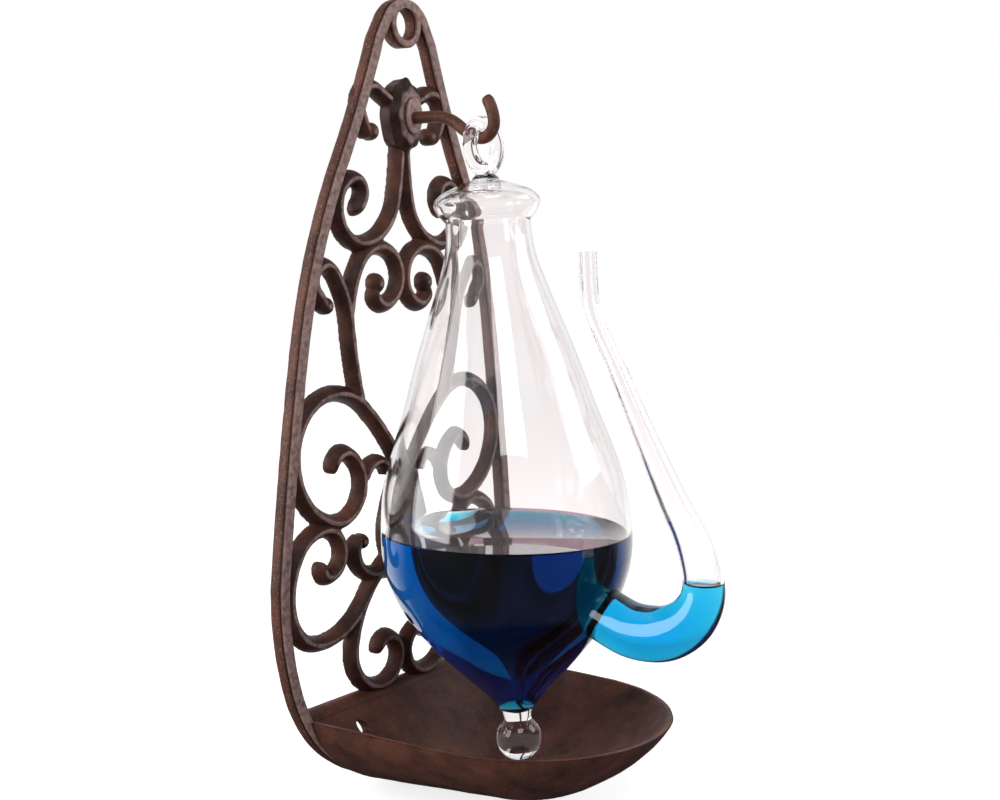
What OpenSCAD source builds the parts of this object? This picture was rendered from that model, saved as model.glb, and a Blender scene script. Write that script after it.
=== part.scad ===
// Weather glass: a blown glass flask with a spout, half full of blue liquid, hung by its
// glass ring from the hook of a cast iron wall bracket of scrollwork with a drip dish.
// Millimetres. +Z is up, -Y is the front, the wall is the plane y = 0, and the origin is
// the centre of the hanging eye at the back of the bracket.

/* [Bracket] */
// Depth of the flat bar that frames the bracket
rim_depth = 6.2; // [5:0.1:7]
// Width of the frame bar, seen from the front
rim_w = 4.8; // [4:0.1:6]
// Width of a scroll bar at the wall
scroll_w = 6.4; // [5:0.1:6.6]
// Depth of a scroll bar, from the wall to its front ridge
scroll_depth = 5.6; // [5:0.1:6]
// Width of the worn ridge along the front of a scroll
ridge_w = 1; // [0.6:0.1:1.6]
// Bore of the hanging eye
eye_bore = 12; // [10:0.5:13]
// Outer diameter of the hanging eye
eye_d = 19; // [18:0.5:20]

/* [Rosette and hook] */
// Height of the middle of the rosette
rosette_z = -34.5; // [-35.5:0.1:-33.5]
// Width of the rosette
rosette_w = 19; // [16:0.5:22]
// Height of the rosette
rosette_h = 28; // [24:0.5:30]
// Thickness of the rosette's petals
petal_t = 2.6; // [2:0.1:3.2]
// Thickness of the rosette's disc
disc_t = 1.8; // [1.2:0.1:2.4]
// Number of scallops round the rosette
scallops = 8; // [6:1:12]
// Diameter of the hook's rod
rod_d = 4.6; // [4:0.1:4.8]
// Distance from the wall to the middle of the hook's crook
hook_reach = 41.3; // [36:0.1:46]
// Height of the middle of the rod where the ring hangs
hook_low_z = -44.2; // [-44.7:0.1:-43.7]

/* [Drip dish] */
// Height of the dish's rim
dish_z = -258.3; // [-260:0.1:-257]
// Half the width of the dish at its rim
dish_r = 58; // [56:0.5:59]
// Depth of the dish, outside
dish_depth = 34.5; // [30:0.5:36]
// Distance from the wall to the centre of the dish's round front
dish_centre = 65; // [58:0.5:68]
// Angle at which the dish rises towards its front
dish_tilt = 5; // [0:0.5:7]
// Wall thickness of the dish
dish_wall = 3.2; // [2.6:0.1:4]
// Slope of the dish's back wall, from level
back_slope = 40; // [35:1:45]
// Distance between the two screw holes in the back wall
screw_pitch = 73; // [68:0.5:78]
// Diameter of the screw holes
screw_d = 5.4; // [4:0.1:6]
// Distance of the screw holes below the dish's rim
screw_drop = 6.2; // [5.2:0.1:7.2]

/* [Flask] */
// Clearance between the back of the bulb and the leaf behind it
rest_gap = 1.6; // [1.5:0.05:2.5]
// Radius of the widest part of the bulb
bulb_r = 47.2; // [44:0.1:50]
// Glass thickness of the bulb
glass_t = 1.8; // [1.4:0.1:2.4]
// Glass thickness of the spout
spout_t = 1.3; // [1:0.1:1.5]
// Bore of the hanging ring
ring_bore = 11.4; // [10.5:0.1:12]
// Thickness of the hanging ring
ring_t = 5.6; // [5:0.1:6]
// Diameter of the solid ball at the foot of the flask
ball_d = 17.2; // [15:0.1:18]
// Clearance between the ring and the crook it hangs in
hang_gap = 0.35; // [0.3:0.05:0.5]

/* [Liquid] */
// Height of the liquid's surface in the bulb
bulb_level = -190.5; // [-200:0.5:-175]
// Height of the liquid's surface in the spout
spout_level = -199.6; // [-205:0.5:-170]

/* [Hidden] */
$fn = 96;

iron = "#4a3029";
worn_iron = "#7c5d55";
clear = [0.85, 0.88, 0.9, 0.35];
deep_blue = "#101a4a";
light_blue = "#159fd8";

rod_r = rod_d / 2;
tube_r = ring_t / 2;
ring_r = ring_bore / 2 + tube_r;
// Overlap of neighbouring arcs, so that they join
lap = 0.02;
// Radius of the crook's centre line: the ring's bar lies in it
crook_r = rod_r + hang_gap + tube_r;
// Clearance between liquid and glass
wet_gap = 0.15;
cut = 400;
// Curve of the dish, as shares of its radius and its depth, from its middle to its rim
dish_curve = [[0, 1], [0.3, 0.97], [0.6, 0.74], [0.78, 0.525], [0.91, 0.288], [1, 0]];
screw_z = dish_z - screw_drop;
// Fine step between the frame bar's sides and its front face
rim_step = 0.5;
// Bar across the back of the dish: above and below the rim, its depth and its sloping top
rail_up = 3;
rail_down = 3;
rail_depth = rim_depth + 0.4;
rail_top = 2.4;
rail_lip = 0.6;
// How much shorter each half of that bar is than the dish
rail_short = 2.5;
// Frame bar above the dish, outside its rim, and below it, inside its rim
foot_out = 5.9;
heel_in = 14.5;
// Flank of a scroll bar: draft of its foot, height of the foot, and the shoulder's width and height
foot_draft = 0.1;
foot_share = 0.22;
shoulder_w_share = 0.68;
shoulder_h_share = 0.6;
// Widths of the two narrower scrolls
link_w = 5.6;
heart_w = 6;
// Sizes of the rosette's petals and disc beside its plate, and the waves of their edges
petal_share = 0.8;
disc_share = 0.55;
plate_wave = 0.04;
petal_wave = 0.07;
// Glass stem below the ring: how much wider it is than the ring's bar, at its foot and its top
stem_foot = 0.9;
stem_top = 0.3;

// Lines of the scrolls, left side, seen from the front as [x, z] on the ridge.
// Each is a run of tangent arcs that starts in the given direction, in degrees.
rim_side_line = [[-16, -7], [-35.8, -52.5], [-58.4, -120.5], [-69.8, -207]];
rim_foot_line = [[-69.8, -207], [-dish_r - foot_out, -246], [heel_in - dish_r, -274.6], [0, -290.4]];
rim_arch_line = [[0, 7.1], [-11.4, 0.6], [-16, -7]];
c_line = [[-5, -30.5], [-14.8, -25.4], [-24.4, -34.5], [-19.5, -44]];
lyre_line = [[-1.6, -46], [-4, -66], [-22, -83], [-37.2, -70], [-29.6, -59.3], [-23, -65.5], [-28.8, -71.4]];
volute_line = [[-30.6, -104.5], [-25.4, -91], [-12.8, -84.4], [-1.7, -96.5], [-9.4, -106.2], [-16.6, -100]];
cane_line = [[-25.4, -142], [-31.4, -113], [-40, -93.2], [-48.6, -101.5], [-44.8, -108.2]];
oval_line = [
    [-1.5, -169], [-23, -144.5], [-39, -138.6], [-61.4, -162.5], [-41.5, -186.7], [-24.6, -171.5],
    [-32.2, -161.7], [-40.6, -168.5]
];
link_line = [[-23, -172.5], [-15.6, -166.6], [-8.5, -172]];
heart_line = [[-1, -212.2], [-18, -210], [-28.3, -200.5], [-25, -194.6]];
lower_c_line = [
    [-46, -188.8], [-59.5, -195.6], [-64.8, -211], [-60, -225.4], [-48.5, -231.4], [-34, -228.4],
    [-23, -219.2], [-10, -206.5]
];
lower_curl_line = [[-46, -188.8], [-36, -198], [-42, -206.8], [-46.4, -200.8]];
foot_line = [[-23, -219.2], [-29.7, -235], [-14.5, -255.2], [-2.5, -245.5], [-9.2, -237], [-15.8, -242.5]];

// Outline of the leaf's left half, from its top
leaf_line = [
    [2.4, -163], [5.5, -170], [9, -179], [12, -187], [13.4, -195], [11.5, -204], [6, -210.5], [0, -214]
];

// Knobs at the ends of scrolls: middle, then radius
c_knob = [[-17.4, -41.2], 3.4];
volute_knob = [[-14.6, -97.6], 4];
cane_knob = [[-43.6, -105.6], 3.2];
heart_knob = [[-24.2, -196.6], 3];

// Line of the hook, from the wall, as [distance from the wall, height]
hook_root_z = rosette_z - 0.9;
crook = [hook_reach, hook_low_z + crook_r];
hook_line = [
    [0, hook_root_z], [hook_reach - 22.3, hook_root_z], [hook_reach - 10, hook_root_z - 4.2],
    crook - crook_r * [sin(20), cos(20)], crook + crook_r * [sin(100), -cos(100)], crook + [1.9, 9.3]
];

// Distances below the ring's middle: top of the bead, foot of the bead and foot of the bulb
bead_top = 10.2;
bead_foot = 27.6;
bulb_foot = 215.5;
// Least radius of the space inside under the crown, and the distance down where it ends
crown_r = 6;
cavity_foot = 211;
cavity_point = 2;
// Distance from the foot of the bulb to the middle of the ball
ball_drop = 6.9;

// Outline of the flask: [distance below the ring's middle, radius]
neck_profile = [
    [bead_top, 3.4], [12.4, 5.2], [14.4, 11], [17, 17], [20.5, 19.8], [24.4, 18.6], [bead_foot, 15.8]
];
body_profile = [
    [bead_foot, 15.8], [36, 16.4], [44.5, 18.2], [58, 22.9], [78, 30.1], [98, 36.5], [112, 41.4],
    [126, 45.4], [144, bulb_r], [158, 45.9], [172, 40.2], [184, 31.6], [195, 21.4], [205, 11.2],
    [210, 7.4], [bulb_foot, 4.9]
];
// Distance below the ring's middle to the widest part of the bulb
bulb_mid = [for (q = body_profile) if (q[1] == bulb_r) q[0]][0];
leaf_depth = scroll_depth - ridge_w;
// Forward lean of the flask, which keeps the bulb's back in front of the leaf
lean_r = norm([bulb_r, ring_r + bulb_mid]);
lean = acos((hook_reach - leaf_depth - rest_gap) / lean_r) - atan2(ring_r + bulb_mid, bulb_r);

// Line of the spout: [distance in front of the flask's axis, distance below the ring's middle, radius]
spout_line = [
    [37.6, 170.6, 9.9], [50, 176.5, 10], [59, 178, 10.1], [67.5, 177, 9.8], [75.5, 172.5, 9],
    [80.6, 165.5, 8], [81.9, 158, 7.3], [80.3, 149.5, 6.7], [77, 140.5, 6], [71.6, 130, 5.3],
    [62.1, 108.5, 4.3], [52.3, 85, 3.6], [44, 66, 3.3], [42.4, 57, 3.3], [42.4, 42, 3.4]
];
spout_sides = 20;
spout_steps = 3;
// Length of the opening for the spout, beside its radius, and the share of the spout that is wet
port_share = 2.4;
wet_share = 0.62;

// Turns an angle into the range -180 to 180
function wrap(a) = a - 360 * floor((a + 180) / 360);

// Point between b and c on the smooth curve through a, b, c and d
function blend(a, b, c, d, t) =
    0.5 * (2 * b + (c - a) * t + (2 * a - 5 * b + 4 * c - d) * t * t + (3 * b - a - 3 * c + d) * t * t * t);

// Smooth curve through the points, with steps points to each stretch
function smooth(p, steps) = [
    for (i = [0 : len(p) - 2], k = [0 : steps - 1])
        blend(p[max(i - 1, 0)], p[i], p[i + 1], p[min(i + 2, len(p) - 1)], k / steps),
    p[len(p) - 1]
];

function mirrored(p) = concat(p, [for (i = [len(p) - 1 : -1 : 0]) [-p[i][0], p[i][1]]]);

// Section of a scroll bar: flat on the wall, with rounded flanks and a ridge.
// Every second arc of a bar is finer by a hair, so that neighbours join cleanly.
module scroll_section(width) {
    half = width / 2 - $finer * lap;
    depth = scroll_depth - $finer * lap;
    polygon(mirrored([
        [half, 0], [half - foot_draft, depth * foot_share],
        [half * shoulder_w_share, depth * shoulder_h_share],
        [ridge_w / 2 - $finer * lap, depth]
    ]));
}

// Section of the frame bar: square at the wall, with a fine step round its front face
module rim_section() {
    half = rim_w / 2 - $finer * lap;
    depth = rim_depth - $finer * lap;
    polygon(mirrored([
        [half, 0], [half, depth - 3 * rim_step], [half - rim_step, depth - 2 * rim_step],
        [half - rim_step, depth - rim_step], [half - 2 * rim_step, depth]
    ]));
}

// A run of tangent arcs through the points, starting in the given direction
module arcs(points, heading, i = 0) {
    $finer = i % 2;
    if (i < len(points) - 1) {
        chord = points[i + 1] - points[i];
        turn = 2 * wrap(atan2(chord[1], chord[0]) - heading);
        if (abs(turn) < 1)
            translate(points[i])
                rotate(heading)
                    rotate([90, 0, 90])
                        linear_extrude(norm(chord) + lap)
                            children();
        else {
            r = abs(norm(chord) / (2 * sin(turn / 2)));
            side = sign(turn);
            centre = points[i] + r * side * [-sin(heading), cos(heading)];
            lap_turn = lap / r * 180 / PI;
            translate(centre)
                rotate(heading - 90 * side + min(turn, 0) - lap_turn)
                    rotate_extrude(angle = abs(turn) + 2 * lap_turn)
                        translate([r, 0])
                            children();
        }
        arcs(points, heading + turn, i + 1)
            children();
    }
}

// Stands a drawing of the bracket up against the wall
module on_wall() {
    rotate([90, 0, 0])
        children();
}

module scroll(points, heading, width = scroll_w) {
    on_wall()
        arcs(points, heading)
            scroll_section(width);
}

// Round knob at the end of a scroll
module knob(spec) {
    r = spec[1];
    on_wall()
        translate(spec[0])
            rotate_extrude()
                intersection() {
                    translate([0, scroll_depth - r])
                        circle(r);
                    square([r, scroll_depth]);
                }
}

module mirror_right() {
    mirror([1, 0, 0])
        children();
}

module rim_arch() {
    color(worn_iron)
        on_wall()
            difference() {
                for (side = [0, 1])
                    mirror([side, 0, 0])
                        arcs(rim_arch_line, 180)
                            rim_section();
                eye_hole();
            }
}

module rim_left() {
    color(worn_iron)
        on_wall()
            arcs(rim_side_line, 250)
                rim_section();
}

module rim_right() {
    mirror_right()
        rim_left();
}

module rim_bottom() {
    color(iron)
        on_wall()
            for (side = [0, 1])
                mirror([side, 0, 0])
                    arcs(rim_foot_line, 269)
                        rim_section();
}

// Hole for the nail, a little longer than the bar is deep
module eye_hole() {
    translate([0, 0, -1])
        cylinder(d = eye_bore, h = rim_depth + 2);
}

module hanging_eye() {
    color(worn_iron)
        on_wall()
            difference() {
                cylinder(d = eye_d, h = rim_depth);
                eye_hole();
            }
}

module c_scroll_left() {
    color(iron) {
        scroll(c_line, 150);
        knob(c_knob);
    }
}

module c_scroll_right() {
    mirror_right()
        c_scroll_left();
}

// Oval outline with soft scallops
module scalloped_oval(w, h, wave) {
    polygon([
        for (a = [0 : 5 : 355])
            let (swell = 1 + wave * cos(scallops * a))
                [w / 2 * swell * sin(a), h / 2 * swell * cos(a)]
    ]);
}

module rosette_plate() {
    color(iron)
        on_wall()
            translate([0, rosette_z])
                linear_extrude(scroll_depth)
                    scalloped_oval(rosette_w, rosette_h, plate_wave);
}

module rosette_petals() {
    color(iron)
        on_wall()
            translate([0, rosette_z, scroll_depth])
                linear_extrude(petal_t)
                    scalloped_oval(rosette_w * petal_share, rosette_h * petal_share, petal_wave);
}

module rosette_disc() {
    color(worn_iron)
        on_wall()
            translate([0, rosette_z, scroll_depth + petal_t])
                linear_extrude(disc_t)
                    scalloped_oval(rosette_w * disc_share, rosette_h * disc_share, 0);
}

module hook() {
    color(iron)
        rotate([90, 0, -90])
            arcs(hook_line, 0)
                circle(rod_r - $finer * lap);
}

module lyre_left() {
    color(iron)
        scroll(lyre_line, 268);
}

module lyre_right() {
    mirror_right()
        lyre_left();
}

module volute_left() {
    color(iron) {
        scroll(volute_line, 80);
        knob(volute_knob);
    }
}

module volute_right() {
    mirror_right()
        volute_left();
}

module cane_left() {
    color(iron) {
        scroll(cane_line, 107);
        knob(cane_knob);
    }
}

module cane_right() {
    mirror_right()
        cane_left();
}

module oval_left() {
    color(iron)
        scroll(oval_line, 122);
}

module oval_right() {
    mirror_right()
        oval_left();
}

module link_left() {
    color(iron)
        scroll(link_line, 75, link_w);
}

module link_right() {
    mirror_right()
        link_left();
}

// Solid leaf where the middle scrolls meet, behind the bulb
module centre_leaf() {
    color(iron)
        on_wall()
            linear_extrude(leaf_depth)
                polygon(mirrored(smooth(leaf_line, 4)));
}

module heart_left() {
    color(iron) {
        scroll(heart_line, 170, heart_w);
        knob(heart_knob);
    }
}

module heart_right() {
    mirror_right()
        heart_left();
}

module lower_c_left() {
    color(iron) {
        scroll(lower_c_line, 180);
        scroll(lower_curl_line, 0);
    }
}

module lower_c_right() {
    mirror_right()
        lower_c_left();
}

module foot_spiral_left() {
    color(iron)
        scroll(foot_line, 236);
}

module foot_spiral_right() {
    mirror_right()
        foot_spiral_left();
}

// Bar across the back of the dish, with a sloping top
module base_rail() {
    rail_half = dish_r - rail_short;
    color(iron)
        translate([-rail_half, 0, dish_z])
            rotate([90, 0, 90])
                linear_extrude(2 * rail_half)
                    polygon([
                        [0, rail_up], [0, -rail_down], [-rail_depth, -rail_down],
                        [-rail_depth, rail_lip], [-rail_top, rail_up]
                    ]);
}

// Outer or inner skin of the dish, from its middle to its rim
function dish_skin(r, depth) = smooth([for (share = dish_curve) [r * share[0], -depth * share[1]]], 4);

// Solid in the shape of the dish: a trough with a round front, which rises towards its front
module dish_solid(r, depth) {
    half = concat(dish_skin(r, depth), [[0, 0]]);
    translate([0, 0, dish_z])
        rotate([-dish_tilt, 0, 0])
            translate([0, -dish_centre, 0]) {
                rotate([0, 0, 180])
                    rotate_extrude(angle = 180)
                        polygon(half);
                rotate([90, 0, 180])
                    linear_extrude(dish_centre + dish_wall)
                        polygon(mirrored(half));
            }
}

// Bowl of the dish, cut off level at the rim and upright where it meets the frame bar
module dish_bowl() {
    color(worn_iron)
        difference() {
            intersection() {
                dish_solid(dish_r, dish_depth);
                translate([-cut / 2, -cut, dish_z - cut])
                    cube([cut, cut - rim_depth, cut]);
            }
            dish_solid(dish_r - dish_wall, dish_depth - dish_wall);
        }
}

// Sloping back wall of the dish, with a hole near each end for a screw into the wall
module dish_back() {
    inside = dish_wall - lap;
    color(iron)
        difference() {
            intersection() {
                dish_solid(dish_r - inside, dish_depth - inside);
                translate([-cut / 2, -rail_depth, dish_z])
                    rotate([back_slope, 0, 0])
                        translate([0, -cut, -dish_wall])
                            cube([cut, cut, dish_wall]);
            }
            for (side = [-1, 1])
                translate([side * screw_pitch / 2, 0, screw_z])
                    rotate([90, 0, 0])
                        cylinder(d = screw_d, h = dish_centre);
        }
}

// Places the flask's own frame: origin at the ring's middle, axis down the leaning flask
module hung() {
    translate([0, -crook[0], crook[1]])
        rotate([-lean, 0, 0])
            translate([0, 0, -ring_r])
                children();
}

function turned(p) = [for (q = p) [q[1], -q[0]]];

module hanging_ring() {
    color(clear)
        hung() {
            rotate([90, 0, 0])
                rotate_extrude()
                    translate([ring_r, 0])
                        circle(tube_r);
            translate([0, 0, -ring_r - tube_r])
                cylinder(r1 = tube_r + stem_foot, r2 = tube_r + stem_top, h = tube_r);
        }
}

module neck_bead() {
    outline = turned(smooth(neck_profile, 4));
    color(clear)
        hung()
            difference() {
                rotate_extrude()
                    polygon(concat([[0, -bead_top]], outline, [[0, -bead_foot]]));
                cavity(glass_t);
            }
}

module bulb() {
    outer = turned(smooth(body_profile, 4));
    color(clear)
        hung()
            difference() {
                rotate_extrude()
                    polygon(concat([[0, -bead_foot]], outer, [[0, -bulb_foot]]));
                cavity(glass_t);
                spout_port();
            }
}

// Outline moved inwards by t, square to itself
function inset(p, t) = [
    for (i = [0 : len(p) - 1])
        let (along = p[min(i + 1, len(p) - 1)] - p[max(i - 1, 0)])
            p[i] + t / norm(along) * [along[1], -along[0]]
];

// Outline of the whole flask, from the crown of the bead to the foot of the bulb
function flask_outline() =
    let (body = smooth(body_profile, 4))
    concat(smooth(neck_profile, 4), [for (i = [1 : len(body) - 1]) body[i]]);

// Space inside the bead and the bulb, t inside the glass
module cavity(t) {
    inside = [
        for (q = inset(flask_outline(), t))
            if (q[0] < cavity_foot && (q[1] > crown_r || q[0] > bead_foot))
                q
    ];
    rotate_extrude()
        polygon(turned(concat([[inside[0][0], 0]], inside, [[cavity_foot + cavity_point - t, 0]])));
}

// Opening in the bulb where the spout joins
module spout_port() {
    root = spout_line[0];
    next = spout_line[1];
    slope = atan2(next[1] - root[1], next[0] - root[0]);
    translate([0, -root[0], -root[1]])
        rotate([90 + slope, 0, 0])
            translate([0, 0, -root[2]])
                cylinder(r = root[2] - spout_t, h = port_share * root[2]);
}

// Rings of points round the spout's line, from the first to the last, inset from its outside
function spout_rings(inset, first, last) =
    let (path = smooth(spout_line, spout_steps))
    [
        for (i = [first : last])
            let (
                before = path[max(i - 1, 0)],
                after = path[min(i + 1, len(path) - 1)],
                way = atan2(after[1] - before[1], after[0] - before[0]),
                r = path[i][2] - inset
            )
            [
                for (k = [0 : spout_sides - 1])
                    let (a = 360 * k / spout_sides)
                    [
                        r * cos(a),
                        -path[i][0] + r * sin(a) * sin(way),
                        -path[i][1] - r * sin(a) * cos(way)
                    ]
            ]
    ];

// Faces between two neighbouring rings of points, numbered from the given rings
function wall_faces(from, to, n, flip) = [
    for (k = [0 : n - 1])
        let (
            a = from * n + k,
            b = from * n + (k + 1) % n,
            c = to * n + (k + 1) % n,
            d = to * n + k
        )
        flip ? [a, d, c, b] : [a, b, c, d]
];

function spout_last() = (len(spout_line) - 1) * spout_steps;

module spout() {
    last = spout_last();
    outer = spout_rings(0, 0, last);
    inner = spout_rings(spout_t, 0, last);
    count = last + 1;
    points = [for (ring = concat(outer, inner), p = ring) p];
    outer_faces = [for (i = [0 : count - 2]) each wall_faces(i, i + 1, spout_sides, false)];
    inner_faces = [for (i = [0 : count - 2]) each wall_faces(count + i, count + i + 1, spout_sides, true)];
    root_faces = wall_faces(count, 0, spout_sides, false);
    tip_faces = wall_faces(count - 1, 2 * count - 1, spout_sides, false);
    color(clear)
        hung()
            polyhedron(points, concat(outer_faces, inner_faces, root_faces, tip_faces), 6);
}

// Solid glass ball, cut flat where it meets the foot of the bulb
module drip_ball() {
    color(clear)
        hung()
            translate([0, 0, -bulb_foot])
                rotate_extrude()
                    intersection() {
                        translate([0, -ball_drop])
                            circle(d = ball_d);
                        translate([0, -2 * ball_d])
                            square(2 * ball_d);
                    }
}

module below(level) {
    translate([-cut / 2, -cut, level - cut])
        cube([cut, cut, cut]);
}

module bulb_liquid() {
    color(deep_blue)
        intersection() {
            hung()
                cavity(glass_t + wet_gap);
            below(bulb_level);
        }
}

module spout_liquid() {
    // Number of rings, enough to reach above the surface
    count = round(spout_last() * wet_share);
    points = [for (ring = spout_rings(spout_t + wet_gap, 1, count), p = ring) p];
    sides = [for (i = [0 : count - 2]) each wall_faces(i, i + 1, spout_sides, false)];
    root = [for (k = [spout_sides - 1 : -1 : 0]) k];
    top = [for (k = [0 : spout_sides - 1]) (count - 1) * spout_sides + k];
    color(light_blue)
        intersection() {
            hung()
                polyhedron(points, concat(sides, [root, top]), 6);
            below(spout_level);
        }
}

rim_arch();
rim_left();
rim_right();
rim_bottom();
hanging_eye();
c_scroll_left();
c_scroll_right();
rosette_plate();
rosette_petals();
rosette_disc();
hook();
lyre_left();
lyre_right();
volute_left();
volute_right();
cane_left();
cane_right();
oval_left();
oval_right();
link_left();
link_right();
centre_leaf();
heart_left();
heart_right();
lower_c_left();
lower_c_right();
foot_spiral_left();
foot_spiral_right();
base_rail();
dish_bowl();
dish_back();
hanging_ring();
neck_bead();
bulb();
spout();
drip_ball();
bulb_liquid();
spout_liquid();
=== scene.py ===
import math

import bmesh
import bpy
from mathutils import Matrix, Vector, noise


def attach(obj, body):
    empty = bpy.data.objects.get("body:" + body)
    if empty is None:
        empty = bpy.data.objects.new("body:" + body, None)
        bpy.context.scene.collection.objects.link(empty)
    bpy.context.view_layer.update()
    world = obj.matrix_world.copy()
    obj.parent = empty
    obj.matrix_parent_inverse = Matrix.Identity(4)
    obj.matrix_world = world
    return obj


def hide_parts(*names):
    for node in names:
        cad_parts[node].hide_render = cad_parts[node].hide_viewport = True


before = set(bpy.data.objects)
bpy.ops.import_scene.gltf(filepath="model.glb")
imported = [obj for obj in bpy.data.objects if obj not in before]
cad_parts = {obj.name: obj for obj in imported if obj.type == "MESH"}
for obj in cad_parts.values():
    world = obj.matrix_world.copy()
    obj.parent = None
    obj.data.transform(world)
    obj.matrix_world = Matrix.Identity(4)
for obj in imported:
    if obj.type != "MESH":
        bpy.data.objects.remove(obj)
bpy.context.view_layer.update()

# Camera: the photograph's own viewpoint, low on the left of the bracket and a little above
# the middle of the flask, looking slightly down. A millimetre is MM of Blender's metres.
MM = 0.001
CAMERA_PLACE = Vector((-451.77, -367.12, -82.54)) * MM
CAMERA_AZIMUTH = math.radians(-54.93)
CAMERA_DOWN = math.radians(6.055)
CAMERA_ROLL = math.radians(0.256)
FOCAL_PX = 1485.56
FRAME_PX = 1000
SENSOR_MM = 36

forward = Vector((
    -math.sin(CAMERA_AZIMUTH) * math.cos(CAMERA_DOWN),
    math.cos(CAMERA_AZIMUTH) * math.cos(CAMERA_DOWN),
    -math.sin(CAMERA_DOWN),
))
level_right = Vector((math.cos(CAMERA_AZIMUTH), math.sin(CAMERA_AZIMUTH), 0))
level_up = level_right.cross(forward)
right = level_right * math.cos(CAMERA_ROLL) + level_up * math.sin(CAMERA_ROLL)
up = level_up * math.cos(CAMERA_ROLL) - level_right * math.sin(CAMERA_ROLL)
camera = bpy.data.objects.new("camera", bpy.data.cameras.new("camera"))
camera.data.sensor_width = SENSOR_MM
camera.data.lens = FOCAL_PX * SENSOR_MM / FRAME_PX
camera.matrix_world = Matrix.Translation(CAMERA_PLACE) @ Matrix((right, up, -forward)).transposed().to_4x4()
bpy.context.scene.collection.objects.link(camera)
bpy.context.scene.camera = camera

# Frame bar: one square cast iron bar bent into a tall arch, flat on the wall, with a fine
# groove on each side just behind its front face, filled with painted shade. Rust brown paint,
# worn pale on the front, and with painted light there as well.
RIM_SHOULDER = (-16, -7)
RIM_WIDEST = (-69.8, -207)
RIM_ARCH_LINE = ((0, 7.1), (-11.4, 0.6), RIM_SHOULDER)
RIM_SIDE_LINE = (RIM_SHOULDER, (-35.8, -52.5), (-58.4, -120.5), RIM_WIDEST)
RIM_FOOT_LINE = (RIM_WIDEST, (-63.9, -246), (-43.5, -274.6), (0, -290.4))
IRON_DARK = (0.026, 0.010, 0.007, 1)
IRON_BROWN = (0.118, 0.040, 0.024, 1)
# Pale of rubbed paint, and painted light on fronts and ridges
IRON_WEAR_AND_HIGHLIGHT = (0.35, 0.24, 0.22, 1)
# Painted shade for the grooves of the frame bar
GROOVE_SHADE = (0.008, 0.004, 0.004, 1)
# Sizes of the iron's marks: brown clouds, grains, patches of wear and painted light, dull spots and pits
CLOUD_SIZE = 14
GRAIN_SIZE = 0.9
PATCH_SIZE = 2.2
DULL_SIZE = 5
PIT_SIZE = 0.8
PIT_DEPTH = 0.25


def arc_run(points, heading, step=1.5):
    """Points and directions, in degrees, along tangent arcs through the given points."""
    run = [(Vector(points[0]), heading)]
    for start, end in zip(points, points[1:]):
        chord = Vector(end) - Vector(start)
        turn = 2 * ((math.degrees(math.atan2(chord.y, chord.x)) - heading + 180) % 360 - 180)
        count = max(2, math.ceil(chord.length / step), math.ceil(abs(turn) / 9))
        radius = chord.length / (2 * math.sin(math.radians(turn / 2))) if abs(turn) > 0.5 else 0
        for k in range(1, count + 1):
            a = math.radians(heading + turn * k / count)
            if radius:
                h = math.radians(heading)
                centre = Vector(start) + radius * Vector((-math.sin(h), math.cos(h)))
                point = centre + radius * Vector((math.sin(a), -math.cos(a)))
            else:
                point = Vector(start) + chord * k / count
            run.append((point, math.degrees(a)))
        heading += turn
    return run


def rings_mesh(bm, rings, closed_path=False, caps=True):
    """Adds a skin over rings of points, all with the same count, to the mesh."""
    rows = [[bm.verts.new(p) for p in ring] for ring in rings]
    pairs = list(zip(rows, rows[1:])) + ([(rows[-1], rows[0])] if closed_path else [])
    for near, far in pairs:
        for k in range(len(near)):
            n = (k + 1) % len(near)
            bm.faces.new((near[k], near[n], far[n], far[k]))
    if caps and not closed_path:
        bm.faces.new(rows[0][::-1])
        bm.faces.new(rows[-1])


def bar_rings(run, section, shape=lambda k, count: (1, 1)):
    """Rings of a section of (side, depth) points carried along a run on the wall."""
    rings = []
    for k, (point, heading) in enumerate(run):
        a = math.radians(heading)
        wide, deep = shape(k, len(run))
        rings.append([
            Vector((point.x - math.sin(a) * s * wide, -d * deep, point.y + math.cos(a) * s * wide)) * MM
            for s, d in section
        ])
    return rings


def finished(name, bm, smooth_angle=35):
    """Makes an object of the mesh, with sharp edges only above the angle."""
    bmesh.ops.recalc_face_normals(bm, faces=bm.faces)
    mesh = bpy.data.meshes.new(name)
    bm.to_mesh(mesh)
    bm.free()
    mesh.polygons.foreach_set("use_smooth", [True] * len(mesh.polygons))
    mesh.set_sharp_from_angle(angle=math.radians(smooth_angle))
    piece = bpy.data.objects.new(name, mesh)
    bpy.context.scene.collection.objects.link(piece)
    return piece


def roughen(piece, size, amount):
    """Moves the surface in and out a little, as sand casting leaves it."""
    normals = [v.normal.copy() for v in piece.data.vertices]
    for v, normal in zip(piece.data.vertices, normals):
        v.co += normal * noise.noise(v.co / (size * MM)) * amount * MM
    piece.data.update()


def node_of(tree, kind, **sockets):
    node = tree.nodes.new(kind)
    for key, value in sockets.items():
        node.inputs[key.replace("_", " ")].default_value = value
    return node


def noise_of(tree, size, detail=3, rough=0.6):
    """Noise with features of about the given size in millimetres."""
    place = tree.nodes.new("ShaderNodeTexCoord")
    grain = node_of(tree, "ShaderNodeTexNoise", Scale=1 / (size * MM), Detail=detail, Roughness=rough)
    tree.links.new(place.outputs["Object"], grain.inputs["Vector"])
    return grain.outputs["Fac"]


def ranged(tree, value, low, high, to_low=0, to_high=1):
    node = node_of(tree, "ShaderNodeMapRange")
    tree.links.new(value, node.inputs["Value"])
    for index, number in ((1, low), (2, high), (3, to_low), (4, to_high)):
        node.inputs[index].default_value = number
    return node.outputs["Result"]


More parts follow.
